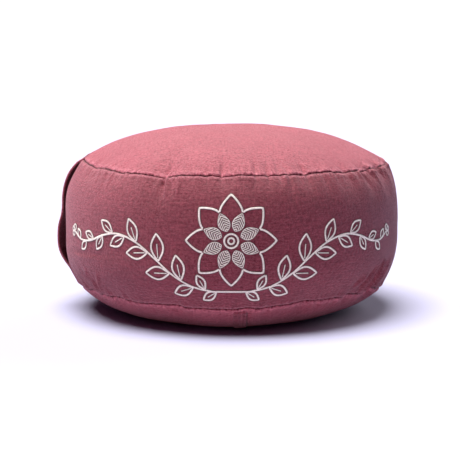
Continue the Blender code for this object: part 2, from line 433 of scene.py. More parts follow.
# How far the sewn shape departs from a turned one, in millimetres:
# turn, top seam up, top seam out, widest out, bottom seam up, bottom seam out, base out.
unevenRows = np.array((
    (-180, 1.5, 1.0, 0.5, -1.5, -1.0, 2.0),
    (-150, -1.0, 2.0, 0.0, 1.0, 1.0, -2.0),
    (-120, 0.5, -2.0, -0.5, 2.0, -1.0, 1.0),
    (-90, 2.5, -2.0, -0.6, -3.0, 1.5, 3.5),
    (-60, 0.0, -3.0, 0.0, 1.5, 0.0, 0.5),
    (-30, -0.5, 2.0, 0.0, 0.5, -1.5, -1.0),
    (0, 1.0, -0.5, 0.0, -0.5, 1.5, 4.5),
    (30, 0.5, -1.0, 0.0, 3.5, -0.5, -3.0),
    (60, -1.5, 1.0, -0.5, 2.5, 0.0, -7.0),
    (90, -2.0, 5.5, -0.4, -2.5, 2.0, 2.0),
    (120, -1.5, 1.0, 0.0, 1.0, 0.5, -3.0),
    (150, 1.0, -1.5, 0.5, -0.5, -1.0, 1.5),
    (180, 1.5, 1.0, 0.5, -1.5, -1.0, 2.0),
))

# Puckers from each seam: turn, width in degrees, reach over the panel, reach over the band, depth in mm.
topPuckers = (
    (-92, 9, 10, 22, 1.6),
    (-63, 4, 12, 14, 1.2),
    (-44, 4, 16, 12, 1.0),
    (-25, 5, 26, 26, 2.2),
    (-3, 4, 24, 10, 1.4),
    (12, 4, 18, 12, 1.0),
    (27, 4, 14, 16, 1.1),
    (45, 4, 12, 24, 1.6),
    (57, 4, 8, 26, 1.8),
    (69, 4, 8, 28, 1.8),
    (81, 4, 10, 22, 1.5),
    (98, 5, 18, 24, 1.4),
    (117, 4, 20, 16, 1.2),
    (139, 5, 14, 24, 1.7),
    (160, 4, 22, 14, 1.1),
    (-176, 5, 16, 22, 1.5),
    (-152, 4, 20, 14, 1.2),
    (-130, 5, 12, 24, 1.6),
)
bottomPuckers = (
    (-92, 9, 10, 20, 2.4),
    (-63, 4, 10, 20, 1.5),
    (-46, 4, 12, 14, 1.1),
    (-20, 4, 10, 10, 0.9),
    (5, 4, 12, 10, 1.2),
    (27, 4, 10, 12, 1.0),
    (49, 4, 12, 22, 1.5),
    (66, 5, 14, 34, 2.4),
    (84, 4, 10, 26, 1.8),
    (108, 5, 14, 20, 1.5),
    (134, 4, 12, 16, 1.2),
    (158, 5, 16, 22, 1.6),
    (-175, 4, 12, 12, 1.2),
    (-148, 5, 14, 24, 1.6),
    (-124, 4, 10, 16, 1.2),
)

seams = {
    "puckerRidge": 0.9,
    "tuckRidge": 1.15,
    "grooveDepth": 2.0 * mm,
    "grooveWidth": 0.6 * mm,
    "dipDepth": 0.35 * mm,
    "dipWidth": 2.2 * mm,
    "lipHeight": 0.35 * mm,
    "lipAt": 3.4 * mm,
    "lipWidth": 2.4 * mm,
    "waver": 0.55 * mm,
    "waverFade": 9 * mm,
    "gatherSeed": 11,
    "gatherRidge": 1.1,
    "gatherLean": 0.16,
    "gatherCut": 2.6,
    "gatherRise": 0.22,
    "gatherFade": (0.45, 0.55),
    "gatherPitch": (1.1, 3.1),
    "gatherWidth": (0.42, 1.0),
    "gatherReach": (4.5, 17),
    "gatherDepth": (0.20, 0.85),
}

# How strongly the cloth is gathered: turn, top panel, band below the top seam, band above the bottom seam,
# bottom panel.
gatherRows = np.array((
    (-180, 0.8, 0.9, 0.8, 0.8),
    (-110, 0.6, 0.8, 0.8, 0.7),
    (-75, 0.5, 1.0, 0.9, 0.7),
    (-48, 0.5, 0.85, 0.8, 0.6),
    (-25, 0.9, 0.9, 0.4, 0.5),
    (0, 1.0, 0.4, 0.3, 0.5),
    (22, 0.9, 0.5, 0.3, 0.5),
    (42, 0.6, 0.9, 0.5, 0.6),
    (60, 0.4, 1.25, 0.9, 0.7),
    (85, 0.5, 1.2, 1.0, 0.8),
    (120, 0.8, 0.9, 0.8, 0.8),
    (180, 0.8, 0.9, 0.8, 0.8),
))

# Single sewn tucks: seam (0 top, 1 bottom), turn, lean in degrees for each 10 mm, width in degrees,
# reach over the panel, reach over the band, depth in mm.
singleTucks = (
    (0, -71.0, 0.6, 1.5, 6, 14, 0.9),
    (0, -58.5, 0.4, 1.4, 7, 16, 0.8),
    (0, -50.0, 0.4, 1.2, 8, 18, 0.8),
    (0, -38.5, -0.5, 1.3, 10, 12, 0.7),
    (0, -24.0, 0.3, 1.1, 17, 18, 1.9),
    (0, -21.8, 0.6, 0.9, 9, 11, 1.1),
    (0, -19.5, -0.4, 1.1, 14, 8, 0.8),
    (0, -9.0, 0.5, 1.0, 17, 8, 1.2),
    (0, -3.5, 0.2, 1.0, 22, 10, 1.6),
    (0, 1.0, -0.4, 0.9, 17, 7, 1.2),
    (0, 8.6, 0.3, 1.0, 24, 9, 1.7),
    (0, 13.0, 0.2, 0.8, 18, 12, 1.4),
    (0, 17.2, 0.6, 1.1, 24, 12, 1.6),
    (0, 21.0, -0.3, 1.2, 24, 22, 1.7),
    (0, 27.5, 0.4, 1.1, 18, 16, 1.3),
    (0, 34.0, 0.3, 1.4, 8, 20, 1.1),
    (0, 39.8, 0.8, 1.3, 6, 22, 1.2),
    (0, 46.0, 0.9, 1.2, 5, 15, 1.2),
    (0, 50.5, 0.7, 1.2, 4, 11, 1.3),
    (0, 54.5, 1.1, 1.4, 5, 17, 1.6),
    (0, 60.0, 0.8, 1.3, 4, 12, 1.9),
    (0, 64.5, 1.0, 1.5, 5, 18, 1.8),
    (0, 70.0, 0.7, 1.6, 4, 13, 2.1),
    (0, 76.5, 0.9, 1.7, 5, 16, 1.8),
    (0, 84.0, 0.5, 1.8, 7, 14, 1.6),
    (1, -73.0, -0.8, 1.6, 8, 18, 1.3),
    (1, -66.0, -0.9, 1.3, 7, 22, 1.3),
    (1, -59.5, -1.0, 1.2, 7, 24, 1.4),
    (1, -54.5, -0.8, 1.0, 6, 22, 1.3),
    (1, -48.0, -0.6, 1.2, 6, 16, 1.0),
    (1, -40.0, 0.4, 1.4, 7, 12, 0.8),
    (1, -30.0, 0.3, 1.3, 9, 8, 0.7),
    (1, 12.0, 0.2, 1.3, 12, 7, 0.8),
    (1, 33.0, 0.4, 1.4, 10, 10, 0.8),
    (1, 41.0, 0.6, 1.2, 8, 14, 1.0),
    (1, 47.0, 0.9, 1.2, 8, 20, 1.3),
    (1, 53.0, 1.0, 1.3, 8, 24, 1.5),
    (1, 60.0, 1.0, 1.3, 8, 28, 1.6),
    (1, 67.0, 0.8, 1.5, 8, 28, 1.7),
    (1, 75.0, 0.4, 1.7, 8, 24, 1.6),
)

# Single creases on the band: start turn and height, end turn and height, width, depth. Heights, widths and
# depths are in mm, and a ridge's depth is below 0.
creases = (
    (-70, 66.0, -42, 70.0, 2.2, 0.9),
    (-68, 62.4, -44, 66.4, 2.4, -0.5),
    (-53.5, 48, -57, 30, 2.0, 1.3),
    (-51.0, 50, -54.0, 30, 2.0, -1.6),
    (-58, 52, -61.5, 33, 2.0, -1.2),
    (57.0, 29, 64.0, 59, 1.9, -4.2),
    (61.5, 30, 68.0, 55, 2.8, 3.2),
    (51.5, 30, 58.5, 53, 2.8, 3.0),
    (47.0, 30, 53.0, 46, 2.4, -2.0),
    (69.5, 36, 71, 58, 2.6, -1.2),
    (-24.5, 147, -22.5, 130, 1.5, 1.2),
    (-23.0, 146, -22.0, 129, 1.4, -1.5),
    (-20.8, 142, -20.0, 131, 1.6, 1.3),
    (-26.5, 146, -26.0, 130, 2.2, -0.7),
    (-17.0, 145, -18.5, 130, 2.4, -0.6),
    (118, 92, 146, 88, 1.7, 0.5),
    (152, 66, 176, 71, 1.8, 0.45),
    (-150, 60, -128, 66, 1.8, 0.5),
)

# Where the strap bears on the cover: turn, width in degrees, height, reach and depth in mm, and whether the
# dent is on the band alone.
strapDents = (
    (-91, 9, 75, 34, 1.8, False),
    (-91, 8, 134, 12, 2.4, True),
)

settle = {
    "columns": 260,
    "spacing": 4.2 * mm,
    "pressure": 4.0,
    "frames": 20,
    "fullness": 0.045,
    "fullnessReach": 34 * mm,
    "innerEdge": 34 * mm,
    "broadSpan": 20 * mm,
    "cap": 1.5 * mm,
    "restMargin": 4 * mm,
    "puckerStart": 0.5,
    "seedScale": 95,
    "seedHeight": 0.5,
}
fabricValues = {
    "quality": 5,
    "mass": 0.2,
    "tension_stiffness": 22,
    "compression_stiffness": 22,
    "shear_stiffness": 8,
    "bending_stiffness": 0.02,
    "tension_damping": 8,
    "compression_damping": 8,
    "shear_damping": 8,
    "use_pressure": True,
    "uniform_pressure_force": settle["pressure"],
    "vertex_group_mass": "sewn",
    "vertex_group_shrink": "spare",
    "shrink_min": 0,
    "shrink_max": -settle["fullness"],
}


def bump(distance, width):
    return np.exp(-((distance / width) ** 2))


def wrapped(turns):
    return (turns + 180) % 360 - 180


def eased(share):
    return share * share * (3 - 2 * share)


def troughAt(across, ridge):
    # A rounded trough with a low ridge on each side.
    return (1 - ridge * across ** 2) * bump(across, 1)


def turnsOf(columns):
    return -180 + 360 * np.arange(columns) / columns


def facesOf(thing):
    mesh = thing.data
    return BVHTree.FromPolygons([v.co for v in mesh.vertices], [p.vertices for p in mesh.polygons])


def pointValues(mesh, name, values):
    attribute = mesh.attributes.new(name, "FLOAT", "POINT")
    attribute.data.foreach_set("value", np.array(values, dtype=np.float32))


def tableAt(rows, turns):
    # Every column of a table of turns, eased between its rows.
    high = np.clip(np.searchsorted(rows[:, 0], turns, side="left"), 1, len(rows) - 1)
    low = high - 1
    share = (turns - rows[low, 0]) / (rows[high, 0] - rows[low, 0])
    return (rows[low] + (rows[high] - rows[low]) * eased(share)[:, None]).T[1:]


def outlineStretches():
    # The turned outline in three stretches: the crown, the band, and the underside with the base.
    c = cushion
    share = np.linspace(0, 1, 400)
    back = share[::-1]
    crownDrop = (c["crownHeight"] - c["topHeight"]) * share ** c["crownPower"]
    crown = np.column_stack((c["topRadius"] * share, c["crownHeight"] - crownDrop))
    upperIn = (c["widestRadius"] - c["topRadius"]) * back ** c["upperPower"]
    upperRise = (c["topHeight"] - c["widestHeight"]) * back
    upper = np.column_stack((c["widestRadius"] - upperIn, c["widestHeight"] + upperRise))
    lowerIn = (c["widestRadius"] - c["lowRadius"]) * share ** c["lowerPower"]
    lowerDrop = (c["widestHeight"] - c["lowHeight"]) * share
    lower = np.column_stack((c["widestRadius"] - lowerIn, c["widestHeight"] - lowerDrop))
    underRadius = c["restRadius"] + (c["lowRadius"] - c["restRadius"]) * back
    under = np.column_stack((underRadius, c["lowHeight"] * back ** c["underPower"]))
    base = np.column_stack((c["restRadius"] * back, np.zeros(len(share))))
    return crown, np.vstack((upper, lower[1:])), np.vstack((under, base[1:]))


def runAlong(line):
    # The distance along a line at each of its points.
    steps = np.hypot(*np.diff(line, axis=0).T)
    return np.concatenate(((0,), np.cumsum(steps)))


def spacedPlaces(length, spacing, fineStart, fineEnd):
    # Places along a stretch, crowded towards a seam.
    def growing():
        places = [0]
        step = cushion["seamSpacing"]
        while step < spacing:
            places.append(places[-1] + step)
            step *= cushion["spacingGrowth"]
        return np.array(places)

    start = growing() if fineStart else np.array((0.0,))
    end = growing() if fineEnd else np.array((0.0,))
    middle = length - start[-1] - end[-1]
    count = max(2, round(middle / spacing))
    even = start[-1] + middle * np.arange(1, count) / count
    return np.concatenate((start, even, (length - end)[::-1]))


def coverRows(spacings=None):
    # One row for each ring: radius, height, stretch, distance below the top seam and below the bottom seam,
    # and place along its stretch. Distances above a seam are below 0. Seams are shared rows.
    wanted = spacings or (cushion["crownSpacing"], cushion["bandSpacing"], cushion["baseSpacing"])
    rows = []
    for number, (stretch, spacing) in enumerate(zip(outlineStretches(), wanted)):
        along = runAlong(stretch)
        length = along[-1]
        if spacings:
            places = np.linspace(0, length, round(length / spacing) + 1)
        else:
            places = spacedPlaces(length, spacing, number > 0, number < 2)
        radius = np.interp(places, along, stretch[:, 0])
        height = np.interp(places, along, stretch[:, 1])
        for ring in range(1 if number else 0, len(places)):
            fromTop = (places[ring] - length, places[ring], 1.0)[number]
            fromBottom = (-1.0, places[ring] - length, places[ring])[number]
            rows.append((radius[ring], height[ring], number, fromTop, fromBottom, places[ring]))
    return np.array(rows)


def sewnSurface(rows, turns):
    # Points of the uneven shape, ring by ring: each stretch keeps its own curve between moved seams.
    c = cushion
    topRise, topReach, wideReach, lowRise, lowReach, restReach = tableAt(unevenRows, turns) * mm
    topRadius = c["topRadius"] + topReach
    topHeight = c["topHeight"] + topRise
    wideRadius = c["widestRadius"] + wideReach
    lowRadius = c["lowRadius"] + lowReach
    lowHeight = c["lowHeight"] + lowRise
    restRadius = c["restRadius"] + restReach
    points = np.empty((len(rows), len(turns), 3))
    for ring, (radius, height, stretch, *_) in enumerate(rows):
        if stretch == 0:
            share = radius / c["topRadius"]
            r = topRadius * share
            z = c["crownHeight"] - (c["crownHeight"] - topHeight) * share ** c["crownPower"]
        elif height > c["widestHeight"]:
            share = (height - c["widestHeight"]) / (c["topHeight"] - c["widestHeight"])
            r = wideRadius - (wideRadius - topRadius) * share ** c["upperPower"]
            z = c["widestHeight"] + (topHeight - c["widestHeight"]) * share
        elif stretch == 1:
            share = (c["widestHeight"] - height) / (c["widestHeight"] - c["lowHeight"])
            r = wideRadius - (wideRadius - lowRadius) * share ** c["lowerPower"]
            z = c["widestHeight"] - (c["widestHeight"] - lowHeight) * share
        elif radius > c["restRadius"]:
            share = (radius - c["restRadius"]) / (c["lowRadius"] - c["restRadius"])
            r = restRadius + (lowRadius - restRadius) * share
            z = lowHeight * share ** c["underPower"]
        else:
            r = radius * restRadius / c["restRadius"]
            z = 0 * turns
        points[ring, :, 0] = r * np.sin(np.radians(turns))
        points[ring, :, 1] = -r * np.cos(np.radians(turns))
        points[ring, :, 2] = z
    return points


def outwardNormals(points):
    around = np.roll(points, -1, axis=1) - np.roll(points, 1, axis=1)
    down = np.gradient(points, axis=0)
    normals = np.cross(down, around)
    normals[0] = (0, 0, 1)
    normals[-1] = (0, 0, -1)
    lengths = np.linalg.norm(normals, axis=2, keepdims=True)
    return normals / np.maximum(lengths, 1e-12)


def around(values, turns):
    # A noise value for every turn that meets itself at the back: points on a circle in noise space.
    places = [Vector((values * math.cos(t), values * math.sin(t), values)) for t in np.radians(turns)]
    return np.array([noise.noise(place) for place in places])


def puckerParts(rows):
    # For each side of each seam: its rings, its puckers, its column of distances, and whether it is a panel.
    stretch = rows[:, 2]
    return (
        (stretch == 0, topPuckers, 3, True),
        (stretch == 1, topPuckers, 3, False),
        (stretch == 1, bottomPuckers, 4, False),
        (stretch == 2, bottomPuckers, 4, True),
    )


def puckerRelief(puckers, turns, distances, onPanel):
    total = np.zeros((len(distances), len(turns)))
    for turn, width, panelReach, bandReach, depth in puckers:
        across = wrapped(turns - turn) / width
        reach = (panelReach if onPanel else bandReach) * mm
        trough = troughAt(across, seams["puckerRidge"])
        total -= depth * mm * np.outer(bump(distances, reach), trough)
    return total


def gatherRelief(seed, amount, turns, distances):
    # Small random gathers that start in a seam and die out over the cloth.
    rng = random.Random(seed)
    total = np.zeros((len(distances), len(turns)))
    turn = -180.0
    while turn < 180:
        turn += rng.uniform(*seams["gatherPitch"])
        width = rng.uniform(*seams["gatherWidth"])
        reach = rng.uniform(*seams["gatherReach"]) * mm
        depth = rng.uniform(*seams["gatherDepth"]) * mm
        lean = rng.uniform(-seams["gatherLean"], seams["gatherLean"]) / mm
        near = distances < seams["gatherCut"] * reach
        drift = turns[None, :] - turn - lean * distances[near][:, None]
        across = wrapped(drift) / width
        trough = troughAt(across, seams["gatherRidge"])
        rise = distances[near] / (seams["gatherRise"] * reach)
        low, grown = seams["gatherFade"]
        fade = bump(distances[near], reach) * (low + grown * np.minimum(rise, 1))
        total[near] -= depth * fade[:, None] * trough
    return total * amount


def tuckRelief(turns, rows):
    total = np.zeros((len(rows), len(turns)))
    for seam, turn, lean, width, panelReach, bandReach, depth in singleTucks:
        distances = np.abs(rows[:, 3 + seam]) / mm
        onBand = rows[:, 2] == 1
        onPanel = rows[:, 2] == (2 if seam else 0)
        for chosen, reach in ((onBand, bandReach), (onPanel, panelReach)):
            away = distances[chosen][:, None]
            across = wrapped(turns[None, :] - turn - lean * away / 10) / (width * (1 + 0.5 * away / reach))
            trough = troughAt(across, seams["tuckRidge"])
            fade = bump(away, reach) * np.minimum(1, 0.35 + away / 3.5)
            total[chosen] -= depth * mm * fade * trough
    return total


def creaseRelief(turns, rows):
    onBand = rows[:, 2] == 1
    total = np.zeros((len(rows), len(turns)))
    perDegree = math.radians(1) * cushion["widestRadius"] / mm
    heights = rows[onBand][:, 1][:, None] / mm
    for startTurn, startHeight, endTurn, endHeight, width, depth in creases:
        acrossX = wrapped(turns - startTurn)[None, :] * perDegree
        acrossY = heights - startHeight
        runX = (endTurn - startTurn) * perDegree
        runY = endHeight - startHeight
        length = math.hypot(runX, runY)
        along = np.clip((acrossX * runX + acrossY * runY) / length ** 2, 0, 1)
        away = np.hypot(acrossX - along * runX, acrossY - along * runY)
        swell = np.sqrt(np.clip(1 - (2 * along - 1) ** 2, 0.0, 1)) * 0.9 + 0.1
        total[onBand] -= depth * mm * swell * bump(away, width)
    return total


def seamRelief(turns, rows):
    # The groove where a thread holds two edges together, with a puffed lip on each side.
    total = np.zeros((len(rows), len(turns)))
    for column, phase in ((3, 2.3), (4, 5.1)):
        distances = np.abs(rows[:, column])[:, None]
        bite = 1 + 0.75 * around(17 + phase, turns) + 0.5 * around(41 + phase, turns)
        bite = np.clip(bite, 0.45, 1.7)
        puff = np.clip(1 + 1.3 * around(11 + phase, turns) + 1.0 * around(29 + phase, turns), 0.1, 2.2)
        total -= seams["grooveDepth"] * bite * np.exp(-distances / seams["grooveWidth"])
        total -= seams["dipDepth"] * bump(distances, seams["dipWidth"])
        total += seams["lipHeight"] * puff * bump(distances - seams["lipAt"], seams["lipWidth"])
    return total


def fillingRelief(points):
    # Soft lumps where the filling presses on the cloth.
    flat = points.reshape(-1, 3)
    lumps = [noise.noise(Vector(p) * 22) * 0.75 + noise.noise(Vector(p) * 47) * 0.28 for p in flat]
    return np.array(lumps).reshape(points.shape[:2]) * mm


def coverRelief(turns, rows, points):
    stretch = rows[:, 2]
    total = seamRelief(turns, rows)
    amounts = tableAt(gatherRows, turns)
    for side, (chosen, puckers, column, onPanel) in enumerate(puckerParts(rows)):
        distances = np.abs(rows[chosen][:, column])
        total[chosen] += puckerRelief(puckers, turns, distances, onPanel)
        total[chosen] += gatherRelief(seams["gatherSeed"] + side + 1, amounts[side], turns, distances)
    total += tuckRelief(turns, rows)
    total += creaseRelief(turns, rows)
    total += fillingRelief(points)
    for turn, width, height, reach, depth, bandAlone in strapDents:
        across = bump(wrapped(turns - turn), width)[None, :]
        dent = across * bump(rows[:, 1] - height * mm, reach * mm)[:, None]
        if bandAlone:
            dent = dent * (stretch == 1)[:, None]
        total -= depth * mm * dent
    under = stretch == 2
    total[under] *= np.minimum(1, points[under][:, :, 2] / (7 * mm))
    return total


def seamSway(turns, rows):
    # The seams run a little up and down, as sewn by hand.
    sway = np.zeros((len(rows), len(turns)))
    for column, phase in ((3, 7.7), (4, 3.4)):
        waver = 0.9 * around(8 + phase, turns) + 0.75 * around(21 + phase, turns)
        sway += seams["waver"] * waver * bump(rows[:, column], seams["waverFade"])[:, None]
    return sway


def gridMesh(name, points, closedEnds):
    # Rings joined into quads, closed at the poles with fans.
    rings, columns = points.shape[:2]
    mesh = bpy.data.meshes.new(name)
    flat = points.reshape(-1, 3)
    if closedEnds:
        inner = flat[columns:-columns]
        verts = np.vstack((points[0, :1], inner, points[-1, :1]))
        first = 1 - columns
    else:
        verts = flat
        first = 0
    index = first + np.arange(rings)[:, None] * columns + np.arange(columns)[None, :]
    faces = []
    places = []
    for ring in range(rings - 1):
        for column in range(columns):
            after = (column + 1) % columns
            if closedEnds and ring == 0:
                faces.append((0, index[1, column], index[1, after]))
                places.append(((0, column + 0.5), (1, column), (1, column + 1)))
            elif closedEnds and ring == rings - 2:
                faces.append((index[ring, column], len(verts) - 1, index[ring, after]))
                places.append(((ring, column), (ring + 1, column + 0.5), (ring, column + 1)))
            else:
                faces.append((index[ring, column], index[ring + 1, column],
                              index[ring + 1, after], index[ring, after]))
                places.append(((ring, column), (ring + 1, column),
                               (ring + 1, column + 1), (ring, column + 1)))
    mesh.from_pydata(verts.tolist(), [], [tuple(int(i) for i in face) for face in faces])
    return mesh, places


def settledWrinkles():
    # Cloth simulation of a coarser cover, held in its seams and pressed out by the filling. It has spare cloth
    # near the seams.
    s = settle
    rows = coverRows((s["spacing"],) * 3)
    offBase = (rows[:, 2] < 2) | (rows[:, 0] > cushion["restRadius"] + s["restMargin"])
    rows = rows[(rows[:, 0] > s["innerEdge"]) & offBase]
    turns = turnsOf(s["columns"])
    points = sewnSurface(rows, turns)
    normals = outwardNormals(points)
    start = np.zeros(points.shape[:2])
    distances = np.minimum(np.abs(rows[:, 3]), np.abs(rows[:, 4]))
    for chosen, puckers, column, onPanel in puckerParts(rows):
        relief = puckerRelief(puckers, turns, np.abs(rows[chosen][:, column]), onPanel)
        start[chosen] += s["puckerStart"] * relief
    points += normals * start[:, :, None]
    seedBumps = np.array([noise.noise(Vector(p) * s["seedScale"]) for p in points.reshape(-1, 3)])
    points += normals * (seedBumps.reshape(start.shape) * s["seedHeight"] * mm)[:, :, None]
    mesh = gridMesh("settlingCloth", points, False)[0]
    thing = newObject("settlingCloth", mesh)
    pins = thing.vertex_groups.new(name="sewn")
    spare = thing.vertex_groups.new(name="spare")
    columns = s["columns"]
    for ring, distance in enumerate(distances):
        members = list(range(ring * columns, (ring + 1) * columns))
        if distance < 0.5 * mm or ring in (0, len(rows) - 1):
            pins.add(members, 1, "REPLACE")
        spare.add(members, float(bump(distance, s["fullnessReach"])), "REPLACE")
    modifier = thing.modifiers.new("settle", "CLOTH")
    modifier.point_cache.frame_start = 1
    modifier.point_cache.frame_end = s["frames"]
    for name, value in fabricValues.items():
        setattr(modifier.settings, name, value)
    modifier.settings.effector_weights.gravity = 0
    modifier.collision_settings.use_collision = False
    for step in range(1, s["frames"] + 1):
        scene.frame_set(step)
    settled = thing.evaluated_get(bpy.context.evaluated_depsgraph_get()).to_mesh()
    ends = np.empty(len(settled.vertices) * 3)
    settled.vertices.foreach_get("co", ends)
    moved = ((ends.reshape(points.shape) - points) * normals).sum(axis=2) + start
    scene.frame_set(1)
    bpy.data.objects.remove(thing)
    print("settled cloth moved", [round(float(v) / mm, 2) for v in np.percentile(moved, (1, 25, 50, 75, 99))])
    return rows, turns, moved


def blurred(values, passes):
    for _ in range(passes):
        values = 0.25 * np.roll(values, 1, axis=1) + 0.5 * values + 0.25 * np.roll(values, -1, axis=1)
        edged = np.vstack((values[:1], values, values[-1:]))
        values = 0.25 * edged[:-2] + 0.5 * edged[1:-1] + 0.25 * edged[2:]
    return values


def wrinklesOn(rows, turns):
    # The settled cloth's wrinkles without its broad swelling, laid over the fine cover.
    coarseRows, coarseTurns, moved = settledWrinkles()
    passes = round(2 * (settle["broadSpan"] / settle["spacing"]) ** 2)
    fine = moved - blurred(moved, passes)
    fine = np.clip(fine, -settle["cap"], settle["cap"])
    coarseOrder = coarseRows[:, 2] * 10 + coarseRows[:, 5]
    order = rows[:, 2] * 10 + rows[:, 5]
    ringed = np.hstack((fine, fine[:, :1]))
    turnsRinged = np.append(coarseTurns, 180.0)
    acrossTurns = np.array([np.interp(turns, turnsRinged, ring) for ring in ringed])
    result = np.empty((len(rows), len(turns)))
    for column in range(len(turns)):
        result[:, column] = np.interp(order, coarseOrder, acrossTurns[:, column])
    inside = (rows[:, 0] > settle["innerEdge"]) & (rows[:, 1] > 0)
    fade = np.where(inside, 1.0, 0.0)[:, None]
    print("wrinkles", [round(float(v) / mm, 2) for v in np.percentile(result, (1, 10, 50, 90, 99))])
    return blurred(result, 2) * fade


def makeCover():
    rows = coverRows()
    turns = turnsOf(cushion["columns"])
    points = sewnSurface(rows, turns)
    normals = outwardNormals(points)
    relief = coverRelief(turns, rows, points)
    relief += wrinklesOn(rows, turns)
    points += normals * relief[:, :, None]
    points[:, :, 2] += seamSway(turns, rows) * (rows[:, 1] > 0)[:, None]
    lapDent(points, rows)
    points[:, :, 2] = np.maximum(points[:, :, 2], 0)
    for pole in (0, -1):
        points[pole] = points[pole].mean(axis=0)
    mesh, places = gridMesh("cushionCover", points, True)

    stretch = rows[:, 2]
    layer = mesh.uv_layers.new(name="clothUv")
    lengths = [runAlong(part)[-1] for part in outlineStretches()]
    flat = []
    for face in places:
        lowest = max(ring for ring, column in face)
        part = int(stretch[lowest])
        for ring, column in face:
            turn = math.radians(-180 + 360 * column / cushion["columns"])
            away = rows[ring][5] if stretch[ring] == part else 0.0
            if part == 1:
                flat.extend((turn * cushion["widestRadius"], lengths[1] - away))
            else:
                out = away if part == 0 else lengths[2] - away
                flat.extend((out * math.sin(turn), -out * math.cos(turn)))
    layer.data.foreach_set("uv", flat)

    nearTop = np.abs(rows[:, 3]) < np.abs(rows[:, 4])
    layer = mesh.uv_layers.new(name="seamUv")
    flat = []
    for face in places:
        top = nearTop[min(ring for ring, column in face)]
        for ring, column in face:
            turn = math.radians(-180 + 360 * column / cushion["columns"])
            along = turn * cushion["topRadius"] + (0 if top else 3)
            flat.extend((along, rows[ring][3 if top else 4]))
    layer.data.foreach_set("uv", flat)

    away = np.minimum(np.abs(rows[:, 3]), np.abs(rows[:, 4]))
    # Paler near the seams: wear, and a painted highlight where the lips catch the light.
    wear = np.repeat(bump(away - 2.4 * mm, 1.8 * mm)[:, None], len(turns), axis=1)
    # Painted light: the whole top panel is made a little paler.
    wear += cloth["topPaintedLight"] * (stretch == 0)[:, None]
    panel, belowTop, aboveLow, under = tableAt(gatherRows, turns)
    onBand = np.where(nearTop[:, None], belowTop[None, :], aboveLow[None, :])
    gathering = np.where((stretch == 0)[:, None], panel, np.where((stretch == 1)[:, None], onBand, under))
    # Painted light and shade: each panel's colour is multiplied by its own factor.
    paintedLightByRow = np.array(cloth["panelLightFactors"])[stretch.astype(int)]
    tone = np.repeat(paintedLightByRow[:, None], len(turns), axis=1)
    for name, values in (("wearAndPaintedLight", wear), ("gathering", gathering), ("panelPaintedLight", tone)):
        pointValues(mesh, name, np.concatenate((values[0, :1], values[1:-1].ravel(), values[-1, :1])))
    mesh.materials.append(roseLinen)
    mesh.shade_smooth()
    return newObject("cushionCover", mesh)


lap = {
    "left": 0.8 * mm,
    "edge": 13.8 * mm,
    "rise": 1.2 * mm,
    "topstitch": 9.2 * mm,
    "stitchDip": 0.3 * mm,
    "seamGap": 1.5 * mm,
    "endTuck": 2 * mm,
    "ramp": 3.4 * mm,
    "stitchDipWidth": 0.8 * mm,
    "quilt": 0.12 * mm,
    "edgeSway": 0.35 * mm,
    "columns": 18,
    "rows": 150,
}


def lapDent(points, rows):
    # The base is pressed in where the lap lies under it, so that the lap's face is level with it.
    x, z = points[:, :, 0], points[:, :, 2]
    fromLeft = np.clip((x - lap["left"]) / (2 * mm), 0, 1)
    inLap = fromLeft * np.clip((lap["edge"] + 1.2 * mm - x) / (1 * mm), 0, 1)
    low = (rows[:, 2] == 2)[:, None] & (z < lap["rise"])
    points[:, :, 2] = np.where(low, np.maximum(z, inLap * (lap["rise"] + 0.1 * mm)), z)


cover = makeCover()
coverFaces = facesOf(cover)
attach(cover, "root")
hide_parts("cushion")
print("cover sewn and filled:", len(cover.data.polygons), "faces")


def tubeMesh(name, loops):
    # Closed loops of points joined into one skin, with a face over each end.
    count = len(loops[0])
    faces = []
    for ring in range(len(loops) - 1):
        for corner in range(count):
            after = (corner + 1) % count
            low = ring * count
            faces.append((low + corner, low + after, low + count + after, low + count + corner))
    last = (len(loops) - 1) * count
    faces.append(tuple(reversed(range(count))))
    faces.append(tuple(last + corner for corner in range(count)))
    mesh = bpy.data.meshes.new(name)
    mesh.from_pydata([tuple(point) for loop in loops for point in loop], [], faces)
    mesh.shade_smooth()
    return mesh


def mapTube(mesh, mapped):
    # A cloth map from one place in metres for each point.
    layer = mesh.uv_layers.new(name="clothUv")
    corners = np.empty(len(mesh.loops), dtype=int)
    mesh.loops.foreach_get("vertex_index", corners)
    layer.data.foreach_set("uv", np.array(mapped, dtype=np.float32)[corners].ravel())


# ---- the lap where the bottom panel's two halves are sewn together, front to back

def undersideAt(x, y):
    below = Vector((x, y, -50 * mm))
    hit, normal, *_ = coverFaces.ray_cast(below, Vector((0, 0, 1)))
    return (hit, normal) if hit else (Vector((x, y, 0)), Vector((0, 0, -1)))


def lapEnd(x, side):
    # Where the lap stops, just short of the seam: side is -1 at the front and 1 at the back.
    reach = cushion["lowRadius"] + 3 * mm
    while undersideAt(x, side * reach)[0].z > cushion["lowHeight"] - lap["seamGap"]:
        reach -= 0.2 * mm
    return reach


def lapPlace(x, share):
    # A place on the underside, from -1 at the lap's front end to 1 at its back end.
    front, back = lapEnds.setdefault(x, (lapEnd(x, -1), lapEnd(x, 1)))
    return undersideAt(x, share * (front if share < 0 else back))


lapEnds = {}


